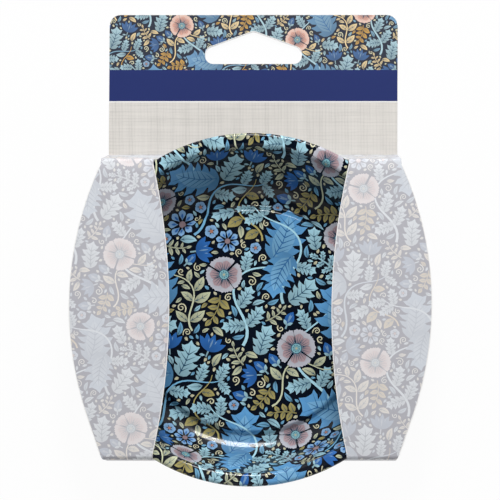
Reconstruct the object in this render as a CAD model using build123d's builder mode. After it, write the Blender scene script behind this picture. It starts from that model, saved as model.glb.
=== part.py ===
from build123d import *
from math import atan2, cos, pi, radians, sin, sqrt, tan
import os

# A round magnetic pin dish of pressed tin, held in a folded card sleeve with a hang header.
# All lengths are in millimetres. The origin is on the dish's axis, on the sleeve's back face.
# Z points out of the dish's mouth and Y points up the header.

# Clearances
running_gap = 0.3
overrun = 2.0

# Dish: one pressed sheet, given from the rim inwards and on the middle of the sheet
tin_thickness = 0.35
rim_radius = 55.0
dish_height = 19.4
lip_width = 4.0
wall_run = 9.5
foot_ring_width = 5.8
step_run = 1.3
wall_sweep_radius = 8.0
lip_angle = radians(20)
lip_bend_cut = 0.9
curl_radius = 0.8
curl_turn = radians(250)
curl_flats = 5

# Magnet and the pad that covers it: the pad has a border of its own foam round the magnet
magnet_thickness = 1.5
pad_border = 13.1
pocket_gap = 0.2
pad_standoff = 1.0
pad_edge_gap = 1.3

# Card blank
card_thickness = 0.5
fold_radius = 0.9
fold_run = 1.5

# Sleeve: how far the rim stands out of it at each end, and how its panels flare and lean
rim_proud_top = 8.5
rim_proud_bottom = 7.6
wing_cover = 0.6
back_inset = 10.65
top_flare = 1.85
bottom_flare = 1.45
window_waist_dip = 5.1
top_lean = 5.6
bottom_lean = 3.4

# Header
header_height = 44.0
header_corner_radius = 3.3

# Hang hole, a roof over a slot
hang_hole_drop = 5.2
hang_hole_half = 14.75
hang_hole_height = 10.2
hang_roof_height = 5.5
hang_apex_radius = 2.0
hang_corner_radius = 2.4

# Heights above the back face
pad_bottom_z = card_thickness + running_gap
foot_z = pad_bottom_z + pad_standoff
floor_under_z = foot_z + magnet_thickness
rim_top_z = foot_z + dish_height
curl_centre_z = rim_top_z - tin_thickness / 2 - curl_radius
curl_low_z = curl_centre_z - curl_radius - tin_thickness / 2
front_under_z = rim_top_z + running_gap
front_middle_z = front_under_z + card_thickness / 2
front_face_z = front_under_z + card_thickness
header_face_z = 2 * card_thickness

# Corners of the dish's section, as radius and height, from the axis out to the curl
lip_inner_radius = rim_radius - lip_width
wall_foot_radius = lip_inner_radius - wall_run
foot_inner_radius = wall_foot_radius - foot_ring_width
floor_edge_radius = foot_inner_radius - step_run
pad_radius = floor_edge_radius - pad_edge_gap
magnet_radius = pad_radius - pad_border
floor_middle_z = floor_under_z + tin_thickness / 2
foot_middle_z = foot_z + tin_thickness / 2
curl_centre_radius = rim_radius - tin_thickness / 2 - curl_radius
curl_start_radius = curl_centre_radius - curl_radius * sin(lip_angle)
curl_start_z = curl_centre_z + curl_radius * cos(lip_angle)
lip_inner_z = curl_start_z - (curl_start_radius - lip_inner_radius) * tan(lip_angle)
wall_angle = atan2(lip_inner_z - foot_middle_z, lip_inner_radius - wall_foot_radius)
lip_bend_low = (
    lip_inner_radius - lip_bend_cut * cos(wall_angle),
    lip_inner_z - lip_bend_cut * sin(wall_angle),
)
lip_bend_high = (
    lip_inner_radius + lip_bend_cut * cos(lip_angle),
    lip_inner_z + lip_bend_cut * sin(lip_angle),
)
curl_corners = []
for flat in range(curl_flats + 1):
    angle = pi / 2 + lip_angle - curl_turn * flat / curl_flats
    curl_corners.append(
        (curl_centre_radius + curl_radius * cos(angle), curl_centre_z + curl_radius * sin(angle))
    )

# Outline of the sleeve, seen from the front
front_top_y = rim_radius - rim_proud_top
front_bottom_y = rim_proud_bottom - rim_radius
waist_y = (front_top_y + front_bottom_y) / 2
wing_top_y = front_top_y - fold_run
wing_bottom_y = front_bottom_y + fold_run
back_half = rim_radius - back_inset
wing_waist_half = rim_radius + wing_cover
wing_corner_half = back_half + top_flare
bottom_corner_half = back_half + bottom_flare
window_top_half = sqrt((rim_radius + running_gap) ** 2 - front_top_y**2)
window_bottom_half = sqrt((rim_radius + running_gap) ** 2 - front_bottom_y**2)
window_waist_half = window_top_half - window_waist_dip
back_bottom_y = front_bottom_y + bottom_lean
header_crease_y = front_top_y + top_lean
header_top_y = header_crease_y + header_height


# Tin dish: raised floor, step down to the foot ring, swept wall, flared lip, curled edge
with BuildPart() as dish_shell:
    with BuildSketch(Plane.XZ):
        with BuildLine():
            Polyline(
                (0, floor_middle_z),
                (floor_edge_radius, floor_middle_z),
                (foot_inner_radius, foot_middle_z),
            )
            FilletPolyline(
                (foot_inner_radius, foot_middle_z),
                (wall_foot_radius, foot_middle_z),
                lip_bend_low,
                radius=wall_sweep_radius,
            )
            Polyline(lip_bend_low, lip_bend_high, *curl_corners)
        trace(line_width=tin_thickness)
    revolve(axis=Axis.Z)

# Disc magnet against the underside of the raised floor
with BuildPart() as magnet_disc:
    with BuildSketch(Plane.XY.offset(floor_under_z - magnet_thickness)):
        Circle(magnet_radius)
    extrude(amount=magnet_thickness)

# Foam pad: fills the recess round the magnet and stands just below the foot ring
with BuildPart() as base_pad:
    with BuildSketch(Plane.XY.offset(pad_bottom_z)):
        Circle(pad_radius)
    extrude(amount=floor_under_z - pad_bottom_z)
    with BuildSketch(Plane.XY.offset(floor_under_z)):
        Circle(magnet_radius + pocket_gap)
    extrude(amount=-magnet_thickness, mode=Mode.SUBTRACT)

# Room that the dish needs where its rim comes through the sleeve's top and bottom panels
wall_room = (tin_thickness / 2 + running_gap) / sin(wall_angle)
room_step_z = curl_low_z - running_gap
room_step_radius = lip_inner_radius - (lip_inner_z - room_step_z) / tan(wall_angle) + wall_room
with BuildPart() as dish_room:
    with BuildSketch(Plane.XZ):
        with BuildLine():
            Polyline(
                (0, foot_z),
                (wall_foot_radius + wall_room, foot_z),
                (wall_foot_radius + wall_room, foot_middle_z),
                (room_step_radius, room_step_z),
                (rim_radius + running_gap, room_step_z),
                (rim_radius + running_gap, front_under_z),
                (0, front_under_z),
                close=True,
            )
        make_face()
    revolve(axis=Axis.Z)

# Sleeve front, one wing on each side of the window, with both long edges bulging
with BuildPart() as front_wing_right:
    with BuildSketch(Plane.XY.offset(front_under_z)):
        with BuildLine():
            window_edge = ThreePointArc(
                (window_top_half, wing_top_y),
                (window_waist_half, waist_y),
                (window_bottom_half, wing_bottom_y),
            )
            outer_edge = ThreePointArc(
                (wing_corner_half, wing_top_y),
                (wing_waist_half, waist_y),
                (bottom_corner_half, wing_bottom_y),
            )
            Line(window_edge @ 0, outer_edge @ 0)
            Line(window_edge @ 1, outer_edge @ 1)
        make_face()
    extrude(amount=card_thickness)

with BuildPart() as front_wing_left:
    mirror(front_wing_right.part, about=Plane.YZ)

# Top panel: folds back from the front over the rim, then lands on the back panel
with BuildPart() as top_panel:
    with BuildSketch(Plane.YZ):
        with BuildLine():
            FilletPolyline(
                (wing_top_y, front_middle_z),
                (front_top_y, front_middle_z),
                (header_crease_y, 0),
                radius=fold_radius,
            )
        trace(line_width=card_thickness)
    extrude(amount=wing_corner_half, both=True)
    with BuildSketch(Plane.XZ):
        with BuildLine():
            Polyline(
                (-wing_corner_half, front_face_z),
                (wing_corner_half, front_face_z),
                (back_half, card_thickness),
                (-back_half, card_thickness),
                close=True,
            )
        make_face()
    extrude(amount=header_top_y, both=True, mode=Mode.INTERSECT)
    with BuildSketch(Plane.XZ):
        with Locations((0, (front_face_z + overrun + room_step_z) / 2)):
            Rectangle(2 * window_top_half, front_face_z + overrun - room_step_z)
    extrude(amount=-header_top_y, mode=Mode.SUBTRACT)
    add(dish_room.part, mode=Mode.SUBTRACT)

# Bottom panel: both its folds are its own, and its front corners are clipped to its width
with BuildPart() as bottom_panel:
    with BuildSketch(Plane.YZ):
        with BuildLine():
            FilletPolyline(
                (wing_bottom_y, front_middle_z),
                (front_bottom_y, front_middle_z),
                (back_bottom_y, card_thickness / 2),
                (back_bottom_y + fold_run, card_thickness / 2),
                radius=fold_radius,
            )
        trace(line_width=card_thickness)
    extrude(amount=bottom_corner_half, both=True)
    with BuildSketch():
        with BuildLine():
            Polyline(
                (-bottom_corner_half, back_bottom_y + fold_run),
                (-bottom_corner_half, wing_bottom_y),
                (-back_half, front_bottom_y - card_thickness / 2),
                (back_half, front_bottom_y - card_thickness / 2),
                (bottom_corner_half, wing_bottom_y),
                (bottom_corner_half, back_bottom_y + fold_run),
                close=True,
            )
        make_face()
    extrude(amount=front_face_z, mode=Mode.INTERSECT)
    with BuildSketch(Plane.XZ):
        with BuildLine():
            Polyline(
                (-bottom_corner_half, front_face_z),
                (bottom_corner_half, front_face_z),
                (bottom_corner_half, front_middle_z),
                (back_half, front_under_z - fold_radius),
                (back_half, 0),
                (-back_half, 0),
                (-back_half, front_under_z - fold_radius),
                (-bottom_corner_half, front_middle_z),
                close=True,
            )
        make_face()
    extrude(amount=header_top_y, both=True, mode=Mode.INTERSECT)
    with BuildSketch(Plane.XZ):
        with Locations((0, (front_face_z + overrun + room_step_z) / 2)):
            Rectangle(2 * window_bottom_half, front_face_z + overrun - room_step_z)
    extrude(amount=header_top_y, mode=Mode.SUBTRACT)
    add(dish_room.part, mode=Mode.SUBTRACT)

# Hang hole outline, shared by both layers of the header
hole_top_y = header_top_y - hang_hole_drop
hole_shoulder_y = hole_top_y - hang_roof_height
hole_bottom_y = hole_top_y - hang_hole_height
with BuildSketch() as hang_hole:
    with BuildLine():
        Polyline(
            (0, hole_top_y),
            (hang_hole_half, hole_shoulder_y),
            (hang_hole_half, hole_bottom_y),
            (-hang_hole_half, hole_bottom_y),
            (-hang_hole_half, hole_shoulder_y),
            close=True,
        )
    make_face()
    fillet(hang_hole.vertices().sort_by(Axis.Y)[-1], radius=hang_apex_radius)
    across = hang_hole.vertices().sort_by(Axis.X)
    fillet(across[:2] + across[-2:], radius=hang_corner_radius)

# Back panel, running up as the rear layer of the header
with BuildPart() as back_panel:
    with BuildSketch():
        with BuildLine():
            Polyline(
                (-back_half, back_bottom_y + fold_run),
                (back_half, back_bottom_y + fold_run),
                (back_half, header_top_y),
                (-back_half, header_top_y),
                close=True,
            )
        face = make_face()
        fillet(face.vertices().group_by(Axis.Y)[-1], radius=header_corner_radius)
    extrude(amount=card_thickness)
    extrude(hang_hole.sketch, amount=card_thickness, mode=Mode.SUBTRACT)

# Header's front layer, glued to the rear layer and meeting the top panel at its crease
with BuildPart() as header_front:
    with BuildSketch(Plane.XY.offset(card_thickness)):
        with BuildLine():
            Polyline(
                (-back_half, header_crease_y - card_thickness / 4),
                (back_half, header_crease_y - card_thickness / 4),
                (back_half, header_top_y),
                (-back_half, header_top_y),
                close=True,
            )
        face = make_face()
        fillet(face.vertices().group_by(Axis.Y)[-1], radius=header_corner_radius)
    extrude(amount=card_thickness)
    extrude(hang_hole.sketch, amount=header_face_z, mode=Mode.SUBTRACT)
    add(top_panel.part, mode=Mode.SUBTRACT)

pieces = {
    "dish_shell": dish_shell,
    "magnet_disc": magnet_disc,
    "base_pad": base_pad,
    "front_wing_right": front_wing_right,
    "front_wing_left": front_wing_left,
    "top_panel": top_panel,
    "bottom_panel": bottom_panel,
    "back_panel": back_panel,
    "header_front": header_front,
}
os.makedirs("parts", exist_ok=True)
for name, piece in pieces.items():
    piece.part.label = name
    export_step(piece.part, f"parts/{name}.step")
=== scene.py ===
import math
import random
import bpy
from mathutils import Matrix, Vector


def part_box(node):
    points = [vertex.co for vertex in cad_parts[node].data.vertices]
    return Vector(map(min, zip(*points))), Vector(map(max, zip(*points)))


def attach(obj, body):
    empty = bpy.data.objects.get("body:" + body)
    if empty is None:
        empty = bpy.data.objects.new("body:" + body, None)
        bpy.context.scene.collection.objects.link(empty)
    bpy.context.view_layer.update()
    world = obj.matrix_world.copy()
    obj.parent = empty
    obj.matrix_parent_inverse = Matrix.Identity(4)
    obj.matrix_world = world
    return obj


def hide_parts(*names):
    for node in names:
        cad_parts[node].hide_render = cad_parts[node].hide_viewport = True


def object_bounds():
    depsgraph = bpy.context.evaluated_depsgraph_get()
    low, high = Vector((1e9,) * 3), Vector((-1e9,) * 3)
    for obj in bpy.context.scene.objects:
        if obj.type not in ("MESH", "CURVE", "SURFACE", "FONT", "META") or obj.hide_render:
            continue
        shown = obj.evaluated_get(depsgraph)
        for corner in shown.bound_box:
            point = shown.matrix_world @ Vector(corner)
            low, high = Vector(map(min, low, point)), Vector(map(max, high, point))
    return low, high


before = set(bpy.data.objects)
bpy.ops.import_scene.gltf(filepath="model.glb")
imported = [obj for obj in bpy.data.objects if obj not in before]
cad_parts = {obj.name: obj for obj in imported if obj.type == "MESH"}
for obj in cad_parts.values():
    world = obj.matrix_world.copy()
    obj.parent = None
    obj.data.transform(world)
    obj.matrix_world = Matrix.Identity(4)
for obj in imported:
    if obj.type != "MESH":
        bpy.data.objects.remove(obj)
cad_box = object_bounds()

from types import SimpleNamespace

import bpy
import numpy as np
from bpy.props import FloatProperty, FloatVectorProperty, IntProperty, PointerProperty
from mathutils import Matrix, Vector
from mathutils.geometry import delaunay_2d_cdt

bl_info = {
    "name": "Magnetic pin dish",
    "version": (1, 0, 0),
    "blender": (4, 5, 0),
    "location": "3D View > Sidebar > Pin dish",
    "description": "Prints and presses a round tin pin dish, and prints and folds its card sleeve",
    "category": "Object",
}

# The sizes and the print are worked out in millimetres; meshes are in metres.
MM = 0.001


def size(name, text, millimetres):
    return FloatProperty(
        name=name, description=text, default=millimetres * MM, precision=5, subtype="DISTANCE", unit="LENGTH"
    )


def share(name, text, value):
    return FloatProperty(name=name, description=text, default=value, min=0.0, max=1.0, subtype="FACTOR")


def amount(name, text, value):
    return FloatProperty(name=name, description=text, default=value, min=0.0)


def degrees(name, text, value):
    return FloatProperty(name=name, description=text, default=math.radians(value), subtype="ANGLE")


def colour(name, text, code):
    """An ink, from its red, green and blue as they are displayed, two digits each."""
    parts = [int(code[at:at + 2], 16) / 255 for at in (0, 2, 4)]
    return FloatVectorProperty(
        name=name, description=text, default=parts, size=3, min=0.0, max=1.0, subtype="COLOR_GAMMA"
    )


class PinDishTin(bpy.types.PropertyGroup):
    """Section of the pressed dish, from its axis out to its curled edge."""

    sheet: size("Sheet", "Thickness of the tin", 0.35)
    rim_radius: size("Rim radius", "Outside of the curled edge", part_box("dish_shell")[1].x / MM)
    rim_top: size("Rim height", "Top of the curled edge above the sleeve's back", 21.2)
    foot_level: size("Foot height", "Underside of the foot ring", 1.8)
    floor_level: size("Floor height", "Underside of the raised floor", 3.3)
    floor_radius: size("Floor radius", "Where the floor starts its step down", 34.4)
    foot_inner: size("Foot ring, inside", "Where the step lands on the foot ring", 35.7)
    foot_outer: size("Foot ring, outside", "Where the wall would leave the foot ring with no sweep", 41.8)
    lip_inner: size("Lip, inside", "Where the wall turns out into the lip", 51.0)
    curl: size("Curl radius", "Bend of the curled edge", 0.8)
    step_bend: size("Step bend", "Bends at both ends of the step", 0.9)
    wall_bend: size("Wall sweep", "Bend from the foot ring up into the wall", 10.0)
    neck: size("Neck", "Height of the steep part under the lip", 3.6)
    neck_bend: size("Neck bend", "Bend where the wall steepens under the lip", 6.0)
    lip_bend: size("Lip bend", "Bend from the neck out into the lip", 1.3)


class PinDishSleeve(bpy.types.PropertyGroup):
    """Card blank of the sleeve and its printed zones."""

    card: size("Card", "Thickness of the card", 0.5)
    fold: size("Fold bend", "Bend on the middle of the card", 0.9)
    cut_edge: size("Cut edge", "White edge that die cutting crushes", 0.24)
    top_sag: size("Sag at the top", "How far the wings dip before their top fold", 0.46)
    bottom_sag: size("Sag at the bottom", "How far the wings dip before their bottom fold", 0.12)
    sag_reach: size("Sag reach", "How far from a fold the wings start to dip", 4.6)
    rim_gap: size("Rim gap", "Room round the rim where it comes through", 0.3)
    front_top: size("Top fold", "Fold at the top of the front", 46.5)
    front_bottom: size("Bottom fold", "Fold at the bottom of the front", -46.7)
    wing_bottom: size("Wings' bottom", "Where the wings run into their bottom fold", -45.3)
    back_bottom: size("Back fold", "Fold at the bottom of the back", -43.1)
    crease: size("Header crease", "Where the top panel lands on the header", 52.1)
    top_corner: size("Top corners", "Half width of the wings at the top fold", 46.2)
    bottom_corner: size("Bottom corners", "Half width of the wings at the bottom fold", 45.8)
    bulge_y: size("Widest point", "Height at which the wings are widest", 1.2)
    straight_y: size("Straight part", "Below here the wings' edges run straight to the bottom", -33.0)
    header_corner: size("Header corners", "Radius of the header's corners", 3.3)
    hole_drop: size("Hole, drop", "Card above the hang hole", 5.2)
    hole_half: size("Hole, half width", "Half width of the hang hole", 14.75)
    hole_height: size("Hole, height", "Height of the hang hole", 10.2)
    hole_roof: size("Hole, roof", "Height of the hole's sloping top", 5.5)
    navy_low: size("Band, lower edge", "Lower edge of the navy band", 68.9)
    navy_high: size("Band, upper edge", "Upper edge of the navy band", 78.7)
    white_line: size("White line", "Width of the line under the band", 0.4)


class PinDishInks(bpy.types.PropertyGroup):
    """Printing inks: each shape is darker at its foot."""

    seed: IntProperty(name="Seed", description="Layout of the floral print", default=7, min=0)
    sleeve_scale: share("Sleeve scale", "Size of the faded print against that of the dish", 0.85)
    header_scale: share("Header scale", "Size of the header's print against that of the dish", 0.62)
    foot_shade: share("Foot shade", "How dark a shape is at its foot", 0.76)
    faded: share("Faded strength", "How strongly the wings are printed", 0.228)
    faded_paper: colour("Faded paper", "Tint that the faded print runs out to", "e5e4e8")
    faded_ground: colour("Faded ground", "Between the shapes on the wings, before it is faded", "000430")
    header_dull: share("Header dulling", "How far the blues printed on the header run to grey", 0.30)
    header_grey: share("Header grey", "How light that grey is", 0.75)
    header_ground: colour("Header ground", "Between the shapes on the header", "04142e")
    ground: colour("Ground", "Between the shapes", "00091a")
    pale_leaf: colour("Pale leaves", "Turquoise fronds", "aedbea")
    deep_leaf: colour("Deep leaves", "Small blue leaves", "7cb8dc")
    big_leaf: colour("Big leaves", "Broad blue leaves", "66a8de")
    big_leaf_light: colour("Big leaf middles", "Lighter middles of the broad leaves", "84c0ea")
    cream_leaf: colour("Cream leaves", "Cream sprigs", "d2d6b4")
    gold_leaf: colour("Gold leaves", "Olive sprigs", "b3a768")
    petal: colour("Petals", "Rosette petals at their rims", "c2c3cd")
    petal_heart: colour("Petal hearts", "Rosette petals at their middle", "b49a9f")
    small_petal: colour("Small petals", "Small flowers", "8db9e4")
    bud: colour("Buds", "Bells and tulips", "3474c4")
    eye: colour("Eyes", "Middles of the rosettes", "8cc4cf")
    coral: colour("Coral", "Middles of the small flowers", "d9967f")
    vein: colour("Veins", "Lines drawn on the leaves", "274e68")
    broad_vein: colour("Broad leaves' veins", "Lines drawn on the broad leaves", "2f6599")
    tendril: colour("Tendrils", "Spirals and berries", "dad6b4")
    header_petal: colour("Header petals", "Rosettes printed on the card", "e6c3b4")
    header_heart: colour("Header petal hearts", "Middles of those rosettes", "d9a493")
    header_gold: colour("Header gold", "Olive sprigs as printed on the card", "d0a14c")
    header_cream: colour("Header cream", "Cream sprigs as printed on the card", "ecd3a0")
    card_white: colour("Card", "Unprinted coated card", "f2f1ef")
    navy: colour("Navy band", "Plain band on the header", "162660")
    linen: colour("Linen", "Woven ground of the header", "d4d0ca")


class PinDishStage(bpy.types.PropertyGroup):
    """Camera, lamps and floor."""

    lens: amount("Lens", "Focal length in millimetres", 1200.0)
    tilt: degrees("Tilt", "How far from straight above the camera is, towards the sleeve's foot", 11.0)
    turn: degrees("Turn", "How far the camera stands to the right", 1.5)
    view_x: size("View, across", "Where the middle of the picture lies, from left to right", -0.25)
    view_y: size("View, along", "Where the middle of the picture lies, from foot to header", 18.56)
    view_z: size("View, height", "Height at which the picture is to scale", 20.0)
    view_width: size("View, width", "How much of that height the picture shows", 500 / 3.269)
    key_watts: amount("Key", "Watts of the lamp above the header", 3.2)
    fill_watts: amount("Fill", "Watts of the lamp on the other side", 0.7)
    room_light: amount("Room", "Light from the walls", 0.8)
    ceiling: share("Ceiling", "Light from straight above, as a share of the walls'", 0.1)
    header_side: share("Header side", "How much more light comes from the header's side", 0.5)
    shadow: share("Shadow", "How much of the object's shadow the floor shows", 0.04)


def millimetres(group):
    """The lengths of a property group, in millimetres."""
    names = [known.identifier for known in group.bl_rna.properties if known.type == "FLOAT"]
    return SimpleNamespace(**{name: getattr(group, name) / MM for name in names})


class Ink:
    """One printed shape: a closed outline, and a tone that runs from its foot to its reach."""

    def __init__(self, outline, tone, reach, foot=(0, 0)):
        self.outline = np.asarray(outline, float)
        self.tone = tone
        self.reach = reach
        self.foot = np.asarray(foot, float)

    def moved(self, spot, angle=0.0, scale=1.0, side=1):
        """The shape turned, scaled and shifted; a side of -1 mirrors it first."""
        turn = scale * np.array([[math.cos(angle), math.sin(angle)], [-math.sin(angle), math.cos(angle)]])
        turn = np.array([[side, 0], [0, 1]]) @ turn
        return Ink(self.outline @ turn + spot, self.tone, self.reach * scale, self.foot @ turn + spot)


def moved(inks, spot, angle=0.0, scale=1.0, side=1):
    return [ink.moved(np.asarray(spot, float), angle, scale, side) for ink in inks]


def bent(points, turn, length):
    """Bends what grows along +Y into an arc that has turned right by turn once it is length long."""
    points = np.asarray(points, float)
    if abs(turn) < 1e-4:
        return points
    radius = length / turn
    heading = points[:, 1] / radius
    right = np.column_stack([np.cos(heading), -np.sin(heading)])
    return np.column_stack([radius * (1 - np.cos(heading)), radius * np.sin(heading)]) + points[:, :1] * right


def bent_inks(inks, turn, length):
    shapes = []
    for ink in inks:
        foot = bent([ink.foot], turn, length)[0]
        shapes.append(Ink(bent(ink.outline, turn, length), ink.tone, ink.reach, foot))
    return shapes


def blade(length, width, fullness=1.0, steps=7):
    """Smooth leaf or petal, from its foot at the origin to its tip."""
    along = np.linspace(0, 1, steps)
    half = width / 2 * np.sin(np.pi * along**fullness) ** 0.9
    right = np.column_stack([half, length * along])
    return np.vstack([right, right[-2:0:-1] * (-1, 1)])


def ribbon(path, start_width, end_width):
    """Outline of a line that tapers along its path."""
    path = np.asarray(path, float)
    along = np.gradient(path, axis=0)
    along /= np.linalg.norm(along, axis=1)[:, None]
    side = np.column_stack([-along[:, 1], along[:, 0]])
    half = np.linspace(start_width, end_width, len(path))[:, None] / 2
    return np.vstack([path + side * half, (path - side * half)[::-1]])


def disc(radius, steps, spot=(0, 0)):
    ring = np.linspace(0, 2 * math.pi, steps + 1)[:-1]
    return np.column_stack([np.cos(ring), np.sin(ring)]) * radius + spot


def lobed(length, width, lobes):
    """Leaf whose pointed lobes reach forward on both sides of it."""
    side = [(0.04 * width, 0.0)]
    pitch = length * 0.84 / lobes
    for lobe in range(lobes):
        reach = width / 2 * math.sin(math.pi * (0.16 + 0.70 * (lobe + 0.5) / lobes)) ** 0.8
        low = lobe * pitch
        side += [
            (reach * 0.5, low + 0.16 * pitch),
            (reach * 0.78, low + 0.42 * pitch),
            (reach, low + 1.06 * pitch),
            (reach * 0.66, low + 1.02 * pitch),
        ]
    right = np.array(side + [(width * 0.10, length * 0.90), (0.0, length)])
    return np.vstack([right, right[-2::-1] * (-1, 1)])


def vein(foot, tip, width, tone="vein"):
    """A drawn line that runs out to a point."""
    foot, tip = np.asarray(foot, float), np.asarray(tip, float)
    along = (tip - foot) / np.linalg.norm(tip - foot)
    side = np.array([-along[1], along[0]]) * width / 2
    return Ink([foot + side, foot - side, tip], tone, 1)


def leaf(length, width, tone, turn=0.0, lobes=0, veins=0, fullness=0.85, glow=None):
    """A leaf with a lighter middle, its midrib and its side veins."""
    outline = lobed(length, width, lobes) if lobes else blade(length, width, fullness)
    inks = [Ink(outline, tone, length)]
    if glow:
        inks.append(Ink(blade(length * 0.80, width * 0.50, 0.8) + (0, length * 0.05), glow, length))
    tone = "broad vein" if glow else "vein"
    line = min(0.022 * width + 0.15, 0.34)
    midrib = ribbon([(0, length * t) for t in (0.04, 0.35, 0.66)], line, line * 0.7)
    inks.append(Ink(np.insert(midrib, 3, (0, length * 0.9), 0), tone, 1))
    for step in range(veins):
        low = length * (0.12 + 0.64 * step / veins)
        reach = width * 0.36 * math.sin(math.pi * (0.22 + 0.6 * step / veins))
        for side in (-1, 1):
            inks.append(vein((0, low), (side * reach, low + 0.20 * length), line * 1.1, tone))
    return bent_inks(inks, turn, length)


def small_leaf(length, width, tone):
    return [Ink(blade(length, width, 0.8, 5), tone, length)]


def big_leaf(length, turn):
    return leaf(length, length * 0.72, "big leaf", turn, 5, 6, glow="big leaf light")


# Right half of a ruffled petal from its foot out, as shares of its half width and its length
PETAL_EDGE_SHARES = (
    (0.16, 0.20),
    (0.50, 0.48),
    (0.86, 0.74),
    (0.96, 0.88),
    (0.72, 0.93),
    (0.60, 0.99),
    (0.30, 0.95),
    (0.14, 1.01),
)


def rosette(radius, petals):
    """A wide open flower: ruffled petals with dark gaps between them, fine lines and a beaded eye."""
    half = radius * math.sin(math.pi / petals) * 0.98
    right = np.array(PETAL_EDGE_SHARES) * (half, radius)
    petal = np.vstack([right, [(0, 0.96 * radius)], right[::-1] * (-1, 1)])
    blush = blade(radius * 0.58, half * 1.25, 1.5, 6) + (0, radius * 0.22)
    inks = []
    for number in range(petals):
        parts = [Ink(petal, "petal", radius), Ink(blush, "petal heart", radius * 0.8)]
        for lean in (-0.42, -0.16, 0.16, 0.42):
            tip = (lean * half * 1.5, radius * (0.84 - abs(lean) * 0.3))
            parts.append(vein((lean * half * 0.6, radius * 0.3), tip, 0.22))
        inks += moved(parts, (0, 0), 2 * math.pi * (number + 0.1 * math.sin(number * 2.6)) / petals)
    inks += [Ink(disc(radius * 0.30, 14), "vein", 1), Ink(disc(radius * 0.25, 14), "eye", radius * 0.3)]
    for bead in range(8):
        way = 2 * math.pi * bead / 8
        spot = radius * 0.16 * np.array([math.cos(way), math.sin(way)])
        inks.append(Ink(disc(radius * 0.034, 4, spot), "vein", 1))
    return inks + [Ink(disc(radius * 0.07, 6), "tendril", 1)]


def ring_of(shapes, count):
    """The shapes of one petal, turned about its foot into a whole flower."""
    inks = []
    for petal in range(count):
        inks += moved(shapes, (0, 0), 2 * math.pi * petal / count)
    return inks


def small_flower(radius):
    petal = blade(radius * 0.84, radius * 0.98, 1.5, 6) + (0, radius * 0.16)
    return ring_of([Ink(petal, "small petal", radius)], 5) + [Ink(disc(radius * 0.27, 7), "coral", radius)]


def pinwheel(radius):
    """A round flower head of narrow petals, each with a dark streak."""
    petal = blade(radius * 0.74, radius * 0.50, 1.6, 7) + (0, radius * 0.26)
    streak = blade(radius * 0.4, radius * 0.16, 1.2, 5) + (0, radius * 0.36)
    shapes = [Ink(petal, "small petal", radius), Ink(streak, "bud", radius)]
    return ring_of(shapes, 8) + [Ink(disc(radius * 0.24, 8), "petal heart", radius)]


def bell(length, turn=0.0):
    """A closed bell on a short stalk, striped, with two sepals."""
    width = length * 0.50
    stripe = [Ink(blade(length * 0.46, width * 0.20, 0.9, 5), "small petal", length)]
    sepal = [Ink(blade(length * 0.34, width * 0.34, 0.9, 6), "pale leaf", length * 0.4)]
    inks = [Ink(ribbon([(0, 0), (0, length * 0.32)], 0.5, 0.4), "pale leaf", length)]
    cup = blade(length * 0.74, width, 0.8, 8) + (0, length * 0.26)
    inks.append(Ink(cup, "bud", length, (0, length * 0.3)))
    for side in (-1, 1):
        inks += moved(stripe, (side * width * 0.07, length * 0.38), side * 0.20)
        inks += moved(sepal, (0, length * 0.22), side * 0.85)
    return bent_inks(inks, turn, length)


def tulip(length):
    """An open cup of pointed petals."""
    inks = [Ink(ribbon([(0, 0), (0, length * 0.3)], 0.5, 0.5), "pale leaf", length)]
    petal = [Ink(blade(length * 0.74, length * 0.27, 0.95, 7), "bud", length)]
    streak = [Ink(blade(length * 0.42, length * 0.07, 1.1, 5), "small petal", length)]
    for lean in (-0.85, 0.85, -0.45, 0.45, 0.0):
        inks += moved(petal, (0, length * 0.24), lean)
        inks += moved(streak, (0, length * 0.36), lean * 0.98)
    return inks


def sprig(length, tone, pairs, turn, leaf_length, leaf_width, lobes=0, stalk=0.4):
    """A curved stalk with leaves in pairs, smaller towards its tip, and one at its tip."""
    shrink, spread = 0.45, 0.85
    veins = 2 if lobes else 0
    line = [(0, t * length) for t in np.linspace(0, 0.84, 8)]
    inks = [Ink(ribbon(line, stalk * 1.25, stalk * 0.6), tone, length)]
    for pair in range(pairs):
        low = length * (0.12 + 0.66 * pair / max(pairs - 0.4, 1))
        reach = length * leaf_length * (1 - shrink * pair / pairs)
        for side in (-1, 1):
            one = leaf(reach, reach * leaf_width, tone, side * 0.5, lobes, veins)
            inks += moved(one, (side * stalk * 0.3, low + side * 0.03 * length), -side * spread)
    reach = length * leaf_length * (1 - shrink * 0.7)
    inks += moved(leaf(reach, reach * leaf_width * 1.1, tone, 0, lobes, veins), (0, length * 0.80))
    return bent_inks(inks, turn, length)


def frond(length, pairs, turn):
    return sprig(length, "pale leaf", pairs, turn, 0.36, 0.62, 3, stalk=0.6)


def spiral(radius, turns=1.3):
    """A tendril that winds in to its own middle."""
    along = np.linspace(0, 1, 15)
    wound = 2 * math.pi * turns * along
    reach = radius * (1 - 0.84 * along)
    coil = np.column_stack([-reach * np.cos(wound), reach * np.sin(wound) + radius])
    stalk = [(-radius * 0.5, -radius * 0.3), (-radius * 0.92, radius * 0.4)]
    return [Ink(ribbon(np.vstack([stalk, coil]), 0.36, 0.28), "tendril", 1)]


def solid_outlines(inks):
    """Outlines of the shapes that take up room, which the veins drawn on them don't."""
    return [ink.outline for ink in inks if "vein" not in ink.tone]


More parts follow.
